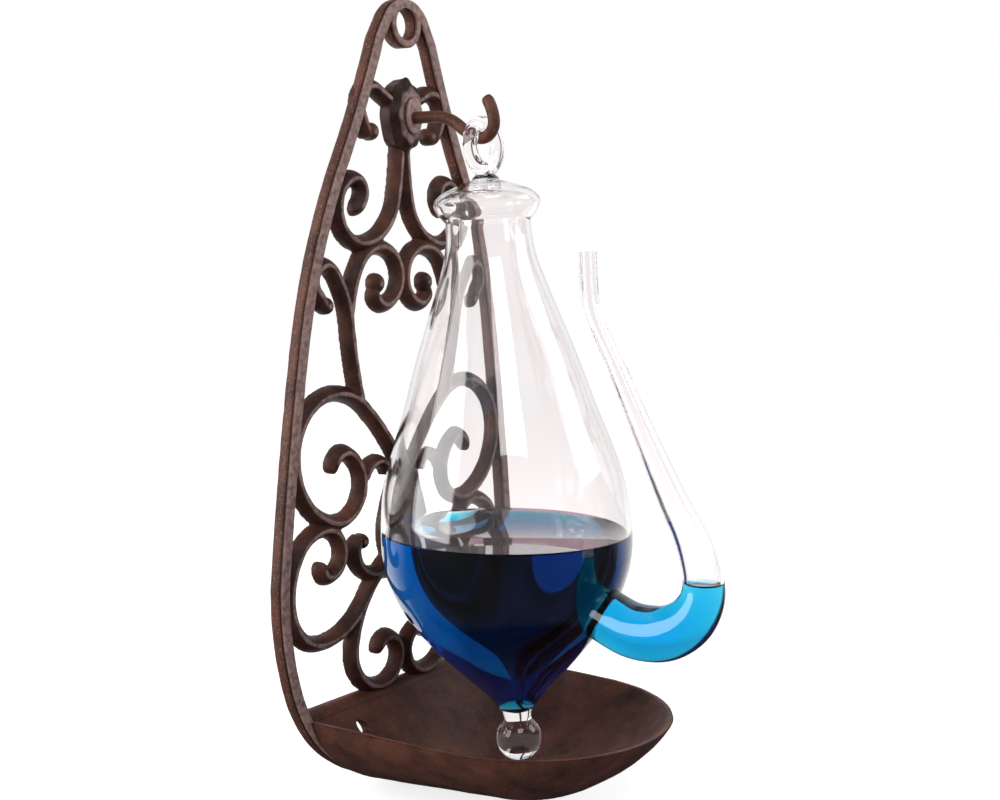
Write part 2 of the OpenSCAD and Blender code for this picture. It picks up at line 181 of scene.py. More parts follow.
def times(tree, a, b):
    node = tree.nodes.new("ShaderNodeMath")
    node.operation = "MULTIPLY"
    tree.links.new(a, node.inputs[0])
    if isinstance(b, (int, float)):
        node.inputs[1].default_value = b
    else:
        tree.links.new(b, node.inputs[1])
    return node.outputs[0]


def mixed(tree, factor, a, b):
    """Colour between a and b, each a colour or a socket."""
    node = tree.nodes.new("ShaderNodeMix")
    node.data_type = "RGBA"
    tree.links.new(factor, node.inputs[0])
    for index, colour in ((6, a), (7, b)):
        if isinstance(colour, tuple):
            node.inputs[index].default_value = colour
        else:
            tree.links.new(colour, node.inputs[index])
    return node.outputs[2]


def cast_iron(name, speckle, brown_share, worn=None, groove_shade=None):
    """Rust brown cast iron, which can be pale in front, from wear and painted light, and darkened
    by painted shade in a groove.

    Wear and painted light are given as the depths where they start and are full, and their share.
    The groove's painted shade is given as the depths where it starts, is full, is still full and ends.
    """
    material = bpy.data.materials.new(name)
    material.use_nodes = True
    tree = material.node_tree
    shader = tree.nodes["Principled BSDF"]
    place = tree.nodes.new("ShaderNodeTexCoord")
    parts = tree.nodes.new("ShaderNodeSeparateXYZ")
    tree.links.new(place.outputs["Object"], parts.inputs[0])
    mottle = ranged(tree, noise_of(tree, CLOUD_SIZE, 5), 0.55 - brown_share * 0.5, 0.95 - brown_share * 0.4)
    base = mixed(tree, mottle, IRON_DARK, IRON_BROWN)
    grain = ranged(tree, noise_of(tree, GRAIN_SIZE, 2), 0.55, 0.75)
    base = mixed(tree, times(tree, grain, speckle * 0.4), base, IRON_WEAR_AND_HIGHLIGHT)
    # Painted shade in the groove
    if groove_shade:
        near = ranged(tree, parts.outputs["Y"], -groove_shade[0] * MM, -groove_shade[1] * MM)
        past = ranged(tree, parts.outputs["Y"], -groove_shade[3] * MM, -groove_shade[2] * MM)
        base = mixed(tree, times(tree, near, past), base, GROOVE_SHADE)
    # Paler fronts and ridges: worn paint and painted light
    if worn:
        edge = ranged(tree, parts.outputs["Y"], -worn[0] * MM, -worn[1] * MM)
        patch = ranged(tree, noise_of(tree, PATCH_SIZE, 4), 0.35, 0.6, 0.35, 1)
        base = mixed(tree, times(tree, times(tree, edge, patch), worn[2]), base, IRON_WEAR_AND_HIGHLIGHT)
    tree.links.new(base, shader.inputs["Base Color"])
    dull = ranged(tree, noise_of(tree, DULL_SIZE, 3), 0.3, 0.7, 0.42, 0.62)
    tree.links.new(dull, shader.inputs["Roughness"])
    shader.inputs["Specular IOR Level"].default_value = 0.2
    bump = node_of(tree, "ShaderNodeBump", Strength=0.5, Distance=PIT_DEPTH * MM)
    tree.links.new(noise_of(tree, PIT_SIZE, 4), bump.inputs["Height"])
    tree.links.new(bump.outputs[0], shader.inputs["Normal"])
    return material


# Pale front: worn paint and painted light; painted shade in the grooves
rim_iron = cast_iron(
    "rim iron", speckle=0.9, brown_share=0.62, worn=(5.6, 6.05, 0.85), groove_shade=(4.6, 4.8, 5.1, 5.4))
# Half the bar's section: distance from its middle, then depth, from the wall to its front
rim_flank = (
    (1.7, 0), (2.3, 0.8), (2.46, 1.8), (2.46, 3.4), (2.38, 4.5), (2.02, 4.85), (1.96, 5.15), (2.2, 5.5),
    (2.12, 5.95), (1.7, 6.2), (0.8, 6.14),
)
rim_section = rim_flank + tuple((-s, d) for s, d in rim_flank[::-1])
rim_run = arc_run(RIM_ARCH_LINE, 180) + arc_run(RIM_SIDE_LINE, 250)[1:] + arc_run(RIM_FOOT_LINE, 269)[1:]
left_rings = bar_rings(rim_run, rim_section)
right_rings = [[Vector((-p.x, p.y, p.z)) for p in ring] for ring in left_rings[-2:0:-1]]
mesh = bmesh.new()
rings_mesh(mesh, left_rings + right_rings, closed_path=True)
NAIL_HOLE_R = 5.8
clear_r = (NAIL_HOLE_R + 0.2) * MM
for v in mesh.verts:
    reach = math.hypot(v.co.x, v.co.z)
    if reach < clear_r:
        v.co.x *= clear_r / reach
        v.co.z *= clear_r / reach
frame_bar = finished("frame_bar", mesh, 50)
roughen(frame_bar, 5, 0.12)
frame_bar.data.materials.append(rim_iron)
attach(frame_bar, "bracket")
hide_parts("rim_arch", "rim_left", "rim_right", "rim_bottom")

# Nail eye: a plain ring cast into the top of the arch, with its edges rounded by the mould.
# It takes the nail that holds the whole thing on the wall.
EYE_OUTER_R = 8.9
EYE_DEPTH = 6.15


def turned_rings(profile, sides):
    """Rings of a (radius, height) profile turned about the vertical axis."""
    return [
        [
            Vector((r * math.cos(math.tau * k / sides), r * math.sin(math.tau * k / sides), h)) * MM
            for k in range(sides)
        ]
        for r, h in profile
    ]


eye_profile = (
    (NAIL_HOLE_R, 0.3), (NAIL_HOLE_R + 0.4, 0), (EYE_OUTER_R - 0.4, 0), (EYE_OUTER_R, 0.5),
    (EYE_OUTER_R, EYE_DEPTH - 0.55), (EYE_OUTER_R - 0.6, EYE_DEPTH), (NAIL_HOLE_R + 0.7, EYE_DEPTH),
    (NAIL_HOLE_R, EYE_DEPTH - 0.65),
)
WALL_TURN = Matrix.Rotation(math.pi / 2, 4, "X")
mesh = bmesh.new()
rings_mesh(mesh, turned_rings(eye_profile, 72), closed_path=True)
bmesh.ops.transform(mesh, matrix=WALL_TURN, verts=mesh.verts)
nail_eye = finished("nail_eye", mesh, 50)
roughen(nail_eye, 4, 0.1)
nail_eye.data.materials.append(rim_iron)
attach(nail_eye, "bracket")
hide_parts("hanging_eye")

# Scrollwork: the curls and bars inside the frame, one casting with it. Each bar is flat on
# the wall and rises to a narrow ridge, where the paint has rubbed off and a thin painted
# highlight runs along it. Bars melt together where they meet, and the free ends are blunt tips
# or round knobs.
SCROLL_DEPTH = 5.6
BAR_STEP = 0.7
TIP_RINGS = 7
MELT_VOXEL = 0.45
# Bars of the left half: points from the root as (x, z), direction of the root in degrees,
# share of the full width, and whether the bar ends in a blunt tip
SCROLLS = (
    (((-5, -30.5), (-14.8, -25.4), (-24.4, -34.5), (-19.5, -44)), 150, 1, True),
    (((-1.6, -46), (-4, -66), (-22, -83), (-37.2, -70), (-29.6, -59.3), (-23, -65.5), (-28.8, -71.4)),
     268, 1, True),
    (((-32, -110.5), (-30.6, -104.5), (-25.4, -91), (-12.8, -84.4), (-1.7, -96.5), (-9.4, -106.2),
      (-16.6, -100)), 73.8, 1, True),
    (((-25.4, -142), (-31.4, -113), (-40, -93.2), (-48.6, -101.5), (-44.8, -108.2)), 107, 1, True),
    (((-1.5, -169), (-23, -144.5), (-39, -138.6), (-61.4, -162.5), (-41.5, -186.7), (-24.6, -171.5),
      (-32.2, -161.7), (-40.6, -168.5)), 122, 1, True),
    (((-23, -172.5), (-15.6, -166.6), (-8.5, -172)), 75, 0.88, False),
    (((-1, -212.2), (-18, -210), (-28.3, -200.5), (-25, -194.6)), 170, 0.94, True),
    (((-46, -188.8), (-59.5, -195.6), (-64.8, -211), (-60, -225.4), (-48.5, -231.4), (-34, -228.4),
      (-23, -219.2), (-10, -206.5)), 180, 1, False),
    (((-46, -188.8), (-36, -198), (-42, -206.8), (-46.4, -200.8)), 0, 1, True),
    (((-23, -219.2), (-29.7, -235), (-14.5, -255.2), (-2.5, -245.5), (-9.2, -237), (-15.8, -242.5)),
     236, 1, True),
)
# Knobs of the left half: middle, then radius
KNOBS = (((-17.6, -41.4), 3.4), ((-14.8, -98.2), 4), ((-43.8, -106), 3.3), ((-24.4, -196.4), 3))
LEAF_LINE = (
    (2.4, -163), (5.5, -170), (9, -179), (12, -187), (13.4, -195), (11.5, -204), (6, -210.5), (0, -214),
)
LEAF_MIDDLE = Vector((0, -190))
LEAF_DEPTH = 4.6


def blend_line(points, steps):
    """Smooth curve through the points."""
    line = []
    for i in range(len(points) - 1):
        a, b, c, d = (Vector(points[min(max(j, 0), len(points) - 1)]) for j in (i - 1, i, i + 1, i + 2))
        for k in range(steps):
            t = k / steps
            line.append(0.5 * (
                2 * b + (c - a) * t + (2 * a - 5 * b + 4 * c - d) * t * t + (3 * b - a - 3 * c + d) * t ** 3
            ))
    line.append(Vector(points[-1]))
    return line


def tip_shape(k, count):
    """Share of the bar's width and depth near its free end: a slight swell, then a blunt point."""
    left = (count - 1 - k) / TIP_RINGS
    if left >= 1:
        return 1 + 0.1 * max(0, 1 - abs(left - 1.6)), 1
    nose = math.sqrt(1 - (1 - left) ** 2)
    return 0.12 + 0.94 * nose, 0.62 + 0.38 * nose


scroll_flank = (
    (3.2, 0), (3.2, 0.7), (3.08, 1.6), (2.8, 2.6), (2.3, 3.6), (1.55, 4.6), (0.8, 5.35), (0.45, SCROLL_DEPTH),
)
mesh = bmesh.new()
for points, heading, share, tipped in SCROLLS:
    section = [(s * share, d) for s, d in scroll_flank]
    section += [(-s, d) for s, d in section[::-1]]
    run = arc_run(points, heading, BAR_STEP)
    rings_mesh(mesh, bar_rings(run, section, tip_shape) if tipped else bar_rings(run, section))
for (x, z), r in KNOBS:
    dome = [(r * math.cos(a), SCROLL_DEPTH - r + r * math.sin(a)) for a in (0, 0.4, 0.8, 1.15, 1.45)]
    knob = bmesh.new()
    rings_mesh(knob, turned_rings([(r, 0)] + dome, 24))
    bmesh.ops.transform(knob, matrix=Matrix.Translation(Vector((x, 0, z)) * MM) @ WALL_TURN, verts=knob.verts)
    part = bpy.data.meshes.new("knob")
    knob.to_mesh(part)
    knob.free()
    mesh.from_mesh(part)
left_half = mesh.verts[:] + mesh.edges[:] + mesh.faces[:]
copied = bmesh.ops.duplicate(mesh, geom=left_half)["geom"]
for item in copied:
    if isinstance(item, bmesh.types.BMVert):
        item.co.x *= -1
leaf = blend_line(LEAF_LINE, 4)
leaf = leaf + [Vector((-p.x, p.y)) for p in leaf[-2::-1]]
rings_mesh(mesh, [
    [Vector((q.x, -depth, q.y)) * MM for q in (LEAF_MIDDLE + (p - LEAF_MIDDLE) * size for p in leaf)]
    for depth, size in ((0, 1), (LEAF_DEPTH - 1, 1), (LEAF_DEPTH, 0.93))
])
scrollwork = finished("scrollwork", mesh)


def evaluated(piece):
    """Applies the piece's modifiers to its mesh."""
    made = bpy.data.meshes.new_from_object(piece.evaluated_get(bpy.context.evaluated_depsgraph_get()))
    piece.modifiers.clear()
    piece.data = made


melt = scrollwork.modifiers.new("melt", "REMESH")
melt.mode = "VOXEL"
melt.voxel_size = MELT_VOXEL * MM
melt.use_smooth_shade = True
soften = scrollwork.modifiers.new("soften", "SMOOTH")
soften.factor = 0.5
soften.iterations = 4
evaluated(scrollwork)
roughen(scrollwork, 4, 0.14)
# Pale line on each ridge: rubbed paint and a painted highlight
scrollwork.data.materials.append(cast_iron(
    "scroll iron", speckle=0.15, brown_share=0.36, worn=(5.25, 5.5, 0.8)))
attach(scrollwork, "bracket")
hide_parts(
    "centre_leaf",
    *[part + side for side in ("_left", "_right") for part in (
        "c_scroll", "lyre", "volute", "cane", "oval", "link", "heart", "lower_c", "foot_spiral",
    )],
)

# Rosette: an oval boss cast over the crossing of the upper scrolls, with a scalloped bevel
# and a flat disc in front, which the hook's rod comes out of.
ROSETTE_Z = -34.5
ROSETTE_W = 19
ROSETTE_H = 28
SCALLOPS = 8


def oval_ring(depth, size, wave, points=96):
    """Scalloped oval at a depth, with its size and its wave as shares of the rosette's."""
    ring = []
    for k in range(points):
        a = math.tau * k / points
        swell = size * (1 + wave * math.cos(SCALLOPS * a))
        ring.append(Vector((
            ROSETTE_W / 2 * swell * math.sin(a), -depth, ROSETTE_Z + ROSETTE_H / 2 * swell * math.cos(a),
        )) * MM)
    return ring


mesh = bmesh.new()
rings_mesh(mesh, [oval_ring(*level) for level in (
    (0, 0.97, 0.02), (3, 0.98, 0.02), (4.6, 0.99, 0.03), (5.3, 1, 0.045), (5.7, 0.98, 0.055),
    (6.1, 0.9, 0.065), (6.8, 0.84, 0.07), (7.6, 0.78, 0.06), (8.2, 0.68, 0.03), (8.3, 0.5, 0),
)])
rosette = finished("rosette", mesh, 60)
roughen(rosette, 3, 0.12)
# Pale line along the scalloped edge: wear and a painted highlight
rosette.data.materials.append(cast_iron(
    "rosette iron", speckle=0.2, brown_share=0.05, worn=(7.7, 8.3, 0.8)))
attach(rosette, "bracket")
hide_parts("rosette_plate", "rosette_petals")
mesh = bmesh.new()
rings_mesh(mesh, [oval_ring(*level) for level in (
    (8, 0.5, 0), (9.4, 0.5, 0), (9.9, 0.47, 0), (10, 0.42, 0), (9.9, 0.27, 0),
)])
rosette_disc = finished("rosette_front", mesh, 60)
rosette_disc.data.materials.append(cast_iron(
    "disc iron", speckle=0.8, brown_share=0.6, worn=(8.9, 9.8, 1)))
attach(rosette_disc, "bracket")
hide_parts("rosette_disc")

# Hook: a round iron rod that comes straight out of the rosette, dips, and turns up in a
# crook that the glass ring lies in. Its end is cut off square.
ROD_R = 2.3
ROD_SIDES = 28
TIP_SHARES = (0.8, 0.93)
HOOK_ROOT_Z = ROSETTE_Z - 0.9
HOOK_REACH = 41.3
HOOK_LOW_Z = -44.2
CROOK_R = 5.45
CROOK = Vector((HOOK_REACH, HOOK_LOW_Z + CROOK_R))
# Angles, from straight down, where the crook starts and ends
CROOK_START = math.radians(-20)
CROOK_END = math.radians(100)
hook_line = (
    (0, HOOK_ROOT_Z), (HOOK_REACH - 22.3, HOOK_ROOT_Z), (HOOK_REACH - 10, HOOK_ROOT_Z - 4.2),
    CROOK + CROOK_R * Vector((math.sin(CROOK_START), -math.cos(CROOK_START))),
    CROOK + CROOK_R * Vector((math.sin(CROOK_END), -math.cos(CROOK_END))),
    CROOK + Vector((1.9, 9.3)),
)
hook_run = arc_run(hook_line, 0, 0.8)
hook_rings = []
for k, (point, heading) in enumerate(hook_run):
    a = math.radians(heading)
    from_tip = len(hook_run) - 1 - k
    r = ROD_R * TIP_SHARES[from_tip] if from_tip < len(TIP_SHARES) else ROD_R
    ring = []
    for n in range(ROD_SIDES):
        t = math.tau * n / ROD_SIDES
        rise = r * math.sin(t)
        y = math.sin(a) * rise - point.x
        ring.append(Vector((r * math.cos(t), y, point.y + math.cos(a) * rise)) * MM)
    hook_rings.append(ring)
mesh = bmesh.new()
rings_mesh(mesh, hook_rings)
hook_rod = finished("hook_rod", mesh, 50)
roughen(hook_rod, 3, 0.06)
hook_rod.data.materials.append(cast_iron("rod iron", speckle=0.5, brown_share=0.75))
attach(hook_rod, "bracket")
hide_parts("hook")

# Drip dish: half a bowl cast against the foot of the frame, to catch what the spout gives
# off. Its back is closed by a sloping wall with two screw holes, below a bar on the frame.
DISH_Z = -258.3
DISH_R = 58
DISH_DEEP = 34.5
DISH_CENTRE = 65
DISH_TILT = math.radians(5)
DISH_WALL = 3.2
DISH_BACK = 6.2
# Curve from the middle of the dish to its rim, as shares of its radius and its depth
DISH_SHARES = ((0, 1), (0.3, 0.97), (0.6, 0.74), (0.78, 0.525), (0.91, 0.288), (1, 0))
RAIL_HALF = 55.5
# How far the curve goes on past the rim before it is cut off level
PAST_RIM = 4
# How much thinner the wall is at the front of the rim, and how far down it is thinner
THIN = 1.5
THIN_DOWN = 24
LIP_BEVEL = 0.4


def dish_profile(r, deep):
    """Curve from the middle of the dish to its rim, and a little further up."""
    line = blend_line([(r * x, -deep * y) for x, y in DISH_SHARES], 5)
    return [tuple(p) for p in line + [line[-1] + (line[-1] - line[-2]).normalized() * PAST_RIM]]


def dish_row(r, h, thinner=0):
    """One level of the dish: along one side, round the front, where it is thinner, and back."""
    straight = [k / 12 for k in range(12)]
    arc = [math.pi * k / 56 for k in range(57)]
    front = r + thinner
    row = [(-r - thinner * min(1, 1.5 * k), -DISH_CENTRE * k) for k in straight]
    row += [(-front * math.cos(a), -DISH_CENTRE - front * math.sin(a)) for a in arc]
    row += [(-x, y) for x, y in row[11::-1]]
    return [Vector((x, y, h)) * MM for x, y in row]


outside = dish_profile(DISH_R, DISH_DEEP)
inside = dish_profile(DISH_R - DISH_WALL, DISH_DEEP - DISH_WALL)
dish_loop = [(r, h, 0) for r, h in outside]
dish_loop += [(r, h, THIN * max(0, min(1, 1 + h / THIN_DOWN))) for r, h in inside[::-1]]
mesh = bmesh.new()
rows = [[mesh.verts.new(p) for p in dish_row(*level)] for level in dish_loop]
for near, far in zip(rows, rows[1:]):
    for k in range(len(near) - 1):
        mesh.faces.new((near[k], near[k + 1], far[k + 1], far[k]))
mesh.faces.new([row[0] for row in rows])
mesh.faces.new([row[-1] for row in rows][::-1])
bmesh.ops.remove_doubles(mesh, verts=mesh.verts, dist=0.01 * MM)
sloped = Matrix.Translation((0, 0, DISH_Z * MM)) @ Matrix.Rotation(-DISH_TILT, 4, "X")
bmesh.ops.transform(mesh, matrix=sloped, verts=mesh.verts)
for place, way in (((0, -DISH_BACK * MM, 0), (0, 1, 0)), ((0, 0, DISH_Z * MM), (0, 0, 1))):
    bmesh.ops.recalc_face_normals(mesh, faces=mesh.faces)
    everything = mesh.verts[:] + mesh.edges[:] + mesh.faces[:]
    cut = bmesh.ops.bisect_plane(mesh, geom=everything, plane_co=place, plane_no=way, clear_outer=True)
    bmesh.ops.holes_fill(mesh, edges=[e for e in cut["geom_cut"] if isinstance(e, bmesh.types.BMEdge)])
lip = [e for e in mesh.edges if all(abs(v.co.z - DISH_Z * MM) < 0.001 * MM for v in e.verts)]
bmesh.ops.bevel(mesh, geom=lip, offset=LIP_BEVEL * MM, segments=2, affect="EDGES")
drip_dish = finished("drip_dish", mesh, 40)
roughen(drip_dish, 9, 0.18)
roughen(drip_dish, 1.5, 0.12)
dish_iron = cast_iron("dish iron", speckle=0.3, brown_share=0.66)
drip_dish.data.materials.append(dish_iron)
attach(drip_dish, "bracket")
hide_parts("dish_bowl")
back_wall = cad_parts["dish_back"]
back_wall.data.materials.clear()
back_wall.data.materials.append(dish_iron)
# Section of the bar behind the dish: distance from the wall, then height above the rim
rail_line = ((-6.6, -3), (-6.6, 0.2), (-6.2, 0.7), (-2.8, 2.8), (-2.2, 3), (-0.3, 3), (0, 2.7), (0, -3))
mesh = bmesh.new()
rings_mesh(mesh, [
    [Vector((x, y, DISH_Z + h)) * MM for y, h in rail_line]
    for x in [RAIL_HALF * (k / 20 - 1) for k in range(41)]
])
dish_rail = finished("dish_rail", mesh, 30)
roughen(dish_rail, 4, 0.1)
dish_rail.data.materials.append(cast_iron("rail iron", speckle=0.4, brown_share=0.6))
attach(dish_rail, "bracket")
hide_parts("base_rail")

# Flask: one piece of clear blown glass. A ring on top hangs in the hook, a flattened bead
# makes the shoulder, a thin walled bulb holds the water, a bent spout rises from its side
# and a solid ball ends its foot. Hand blown, so the surface waves a little.
LEAN = math.radians(4.5)
RING_BORE = 11.4
RING_BAR_R = 2.8
RING_R = RING_BORE / 2 + RING_BAR_R
GLASS_T = 1.8
SPOUT_T = 1.3
BEAD_TOP = 10.2
BULB_FOOT = 215.5
CAVITY_FOOT = 211
BALL_R = 8.6
BALL_DROP = 6.9
# Outline of the flask: depth below the ring's middle, then radius
WAIST = (27.6, 15.8)
NECK_PROFILE = ((BEAD_TOP, 3.4), (12.4, 5.2), (14.4, 11), (17, 17), (20.5, 19.8), (24.4, 18.6), WAIST)
BODY_PROFILE = (
    WAIST, (36, 16.4), (44.5, 18.2), (58, 22.9), (78, 30.1), (98, 36.5), (112, 41.4), (126, 45.4),
    (144, 47.2), (158, 45.9), (172, 40.2), (184, 31.6), (195, 21.4), (205, 11.2), (210, 7.4),
    (BULB_FOOT, 4.9),
)
# Line of the spout: distance in front of the flask's axis, depth, then radius
SPOUT_LINE = (
    (37.6, 170.6, 9.9), (50, 176.5, 10), (59, 178, 10.1), (67.5, 177, 9.8), (75.5, 172.5, 9),
    (80.6, 165.5, 8), (81.9, 158, 7.3), (80.3, 149.5, 6.7), (77, 140.5, 6), (71.6, 130, 5.3),
    (62.1, 108.5, 4.3), (52.3, 85, 3.6), (44, 66, 3.3), (42.4, 57, 3.3), (42.4, 42, 3.4),
)
HUNG = (
    Matrix.Translation(Vector((0, -CROOK.x, CROOK.y)) * MM)
    @ Matrix.Rotation(-LEAN, 4, "X")
    @ Matrix.Translation(Vector((0, 0, -RING_R)) * MM)
)
TURNS = 128
LINE_STEPS = 5
SPOUT_SIDES = 40
flask_line = blend_line(NECK_PROFILE, LINE_STEPS)[:-1] + blend_line(BODY_PROFILE, LINE_STEPS)


def inset_line(line, t):
    """The line moved inwards by t, square to itself."""
    moved = []
    for i, p in enumerate(line):
        along = (line[min(i + 1, len(line) - 1)] - line[max(i - 1, 0)]).normalized()
        moved.append(p + t * Vector((along.y, -along.x)))
    return moved


def turned_solid(line, top, foot):
    """Closed solid turned from (depth, radius) points, with its crown and foot closed."""
    solid = bmesh.new()
    profile = [(0.05, -top)] + [(p.y, -p.x) for p in line] + [(0.05, -foot)]
    rings_mesh(solid, turned_rings(profile, TURNS))
    return solid


def spout_tube(inset, first, last, beyond=0):
    """Rings round the spout's line, inset from its outside, and carried on past its tip."""
    path = blend_line(SPOUT_LINE, LINE_STEPS)
    rings = []
    for i in range(first, last + 1):
        before, after = path[max(i - 1, 0)], path[min(i + 1, len(path) - 1)]
        way = math.atan2(after.y - before.y, after.x - before.x)
        push = beyond if i == len(path) - 1 else 0
        x = path[i].x + push * math.cos(way)
        depth = path[i].y + push * math.sin(way)
        r = path[i].z - inset
        ring = []
        for k in range(SPOUT_SIDES):
            t = math.tau * k / SPOUT_SIDES
            rise = r * math.sin(t)
            y = rise * math.sin(way) - x
            ring.append(Vector((r * math.cos(t), y, -depth - rise * math.cos(way))) * MM)
        rings.append(ring)
    tube = bmesh.new()
    rings_mesh(tube, rings)
    return tube


def combined(base, other, operation):
    """Joins the other piece to the base or cuts it away, and removes the other."""
    cut = base.modifiers.new("cut", "BOOLEAN")
    cut.object = other
    cut.operation = operation
    cut.solver = "EXACT"
    evaluated(base)
    bpy.data.objects.remove(other)


SPOUT_STEPS = LINE_STEPS * (len(SPOUT_LINE) - 1)
flask = finished("flask", turned_solid(flask_line, BEAD_TOP, BULB_FOOT))
combined(flask, finished("spout", spout_tube(0, 0, SPOUT_STEPS)), "UNION")
ring_solid = bmesh.new()
rings_mesh(ring_solid, [
    [
        Vector((
            (RING_R + RING_BAR_R * math.cos(t)) * math.cos(a), RING_BAR_R * math.sin(t),
            (RING_R + RING_BAR_R * math.cos(t)) * math.sin(a),
        )) * MM
        for t in (math.tau * n / 32 for n in range(32))
    ]
    for a in (math.tau * k / 96 for k in range(96))
], closed_path=True)
combined(flask, finished("ring", ring_solid), "UNION")
collar_line = [Vector(p) for p in ((9, 3.2), (10, 3.35), (10.8, 3.9), (11.3, 4.6), (12.1, 5.1), (12.8, 5.2))]
combined(flask, finished("collar", turned_solid(collar_line, 8.9, 12.9)), "UNION")
BALL_DEPTH = BULB_FOOT + BALL_DROP
ball_line = [
    Vector((BALL_DEPTH - BALL_R * math.cos(a), BALL_R * math.sin(a)))
    for a in (math.pi * k / 40 for k in range(1, 40))
]
ball = finished("ball", turned_solid(ball_line, BALL_DEPTH - BALL_R + 0.1, BALL_DEPTH + BALL_R))
combined(flask, ball, "UNION")
BULB_LEVEL = -190.5
SPOUT_LEVEL = -199.6
CREEP = 0.8
CREEP_W = 1.1
FILM = 0.12


def filled_to(level, solid, name):
    """Cuts a solid off at a level surface, with the edge of the surface drawn up the glass."""
    bmesh.ops.transform(solid, matrix=HUNG, verts=solid.verts)
    bmesh.ops.recalc_face_normals(solid, faces=solid.faces)
    top = Vector((0, 0, (level + CREEP) * MM))
    cut = bmesh.ops.bisect_plane(
        solid, geom=solid.verts[:] + solid.edges[:] + solid.faces[:], plane_co=top, plane_no=(0, 0, 1),
        clear_outer=True)
    rim = [e for e in cut["geom_cut"] if isinstance(e, bmesh.types.BMEdge)]
    surface = bmesh.ops.contextual_create(solid, geom=rim)["faces"]
    bmesh.ops.recalc_face_normals(solid, faces=solid.faces)
    bmesh.ops.inset_region(
        solid, faces=surface, thickness=CREEP_W * MM, depth=-CREEP * MM, use_even_offset=True)
    return finished(name, solid, 60)


# Above the waist the space starts where it is this wide, and its foot comes to a point
BORE_R = 6
CAVITY_TIP = 2.4


def cavity(inset, top=0):
    """Solid in the shape of the space inside the bulb and the bead, from the given depth down."""
    line = [
        q for q in inset_line(flask_line, inset)
        if top < q.x < CAVITY_FOOT and (q.y > BORE_R or q.x > WAIST[0])
    ]
    return turned_solid(line, line[0].x - 0.01, CAVITY_FOOT + CAVITY_TIP - inset)


# The glass is solid where the water lies, which has the inside of the glass as its own skin.
WATER_TOP = 60
space = finished("space", cavity(GLASS_T))
combined(space, finished("bore", spout_tube(SPOUT_T, 0, SPOUT_STEPS, 1)), "UNION")
combined(flask, space, "DIFFERENCE")
flask.data.transform(HUNG)
combined(flask, filled_to(BULB_LEVEL + FILM, cavity(GLASS_T - FILM, WATER_TOP), "bulb_bed"), "UNION")
combined(
    flask, filled_to(SPOUT_LEVEL + FILM, spout_tube(SPOUT_T - FILM, 0, SPOUT_STEPS), "spout_bed"), "UNION")
flask.data.polygons.foreach_set("use_smooth", [True] * len(flask.data.polygons))
flask.data.set_sharp_from_angle(angle=math.radians(40))

GLASS_IOR = 1.47
BLUR_SIZE = 20
WAVE_SIZE = 26
WAVE_DEPTH = 0.6
GLASS_FACING = (0.953, 0.925, 0.925, 1)
# Painted shade: the glass is tinted dark where it is seen edge on, for its dark outlines
GLASS_EDGE_SHADE = (0.22, 0.19, 0.2, 1)
clear_glass = bpy.data.materials.new("clear glass")
clear_glass.use_nodes = True
tree = clear_glass.node_tree
shader = tree.nodes["Principled BSDF"]
shader.inputs["Transmission Weight"].default_value = 1
shader.inputs["IOR"].default_value = GLASS_IOR
tree.links.new(ranged(tree, noise_of(tree, BLUR_SIZE), 0.3, 0.7, 0, 0.02), shader.inputs["Roughness"])
# Painted edge shade: the tint goes dark towards grazing angles
facing = node_of(tree, "ShaderNodeLayerWeight", Blend=0.3)
edge_shade_share = ranged(tree, facing.outputs["Facing"], 0.45, 0.95)
tree.links.new(mixed(tree, edge_shade_share, GLASS_FACING, GLASS_EDGE_SHADE), shader.inputs["Base Color"])
wave = node_of(tree, "ShaderNodeBump", Strength=0.06, Distance=WAVE_DEPTH * MM)
tree.links.new(noise_of(tree, WAVE_SIZE, 1), wave.inputs["Height"])
tree.links.new(wave.outputs[0], shader.inputs["Normal"])
flask.data.materials.clear()
flask.data.materials.append(clear_glass)
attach(flask, "vessel")
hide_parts("hanging_ring", "neck_bead", "bulb", "spout", "drip_ball")

# Water: dyed blue, lower in the spout than in the bulb, and level in both. It deepens with
# how much of it the light has to pass: nearly black through the bulb, bright in the spout.
# Its clear tint changes over a short way from the shaded side to the lit one.
WATER_IOR = 1.333
WATER_DENSITY = 300
WATER_LIT = (0.98, 0.99, 1, 1)
LIT_SIDE = (-0.5746, 0.8184, 0)
LIT_REACH = 8
DEEP_BLUE = (0, 0.89, 0.958, 1)
DEEP_SHADED = (0.5, 0.3, 0.36, 1)
BRIGHT_BLUE = (0, 0.81, 0.935, 1)
BRIGHT_SHADED = (0.93, 0.96, 0.98, 1)


def along(tree, place, direction):
    """How far a place lies in a direction."""
    node = tree.nodes.new("ShaderNodeVectorMath")
    node.operation = "DOT_PRODUCT"
    node.inputs[1].default_value = direction
    tree.links.new(place, node.inputs[0])
    return node.outputs["Value"]


def blue_water(name, blue, shaded, lit_from):
    """Water that takes up red most and blue least, lit from a place on towards the lit side."""
    material = bpy.data.materials.new(name)
    material.use_nodes = True
    tree = material.node_tree
    shader = tree.nodes["Principled BSDF"]
    shader.inputs["Transmission Weight"].default_value = 1
    shader.inputs["IOR"].default_value = WATER_IOR / GLASS_IOR
    shader.inputs["Roughness"].default_value = 0
    place = tree.nodes.new("ShaderNodeTexCoord")
    across = along(tree, place.outputs["Object"], LIT_SIDE)
    lit = ranged(tree, across, lit_from * MM, (lit_from + LIT_REACH) * MM)
    tree.links.new(mixed(tree, lit, shaded, WATER_LIT), shader.inputs["Base Color"])
    taken = node_of(tree, "ShaderNodeVolumeAbsorption", Density=WATER_DENSITY)
    taken.inputs["Color"].default_value = blue
    tree.links.new(taken.outputs[0], tree.nodes["Material Output"].inputs["Volume"])
    return material


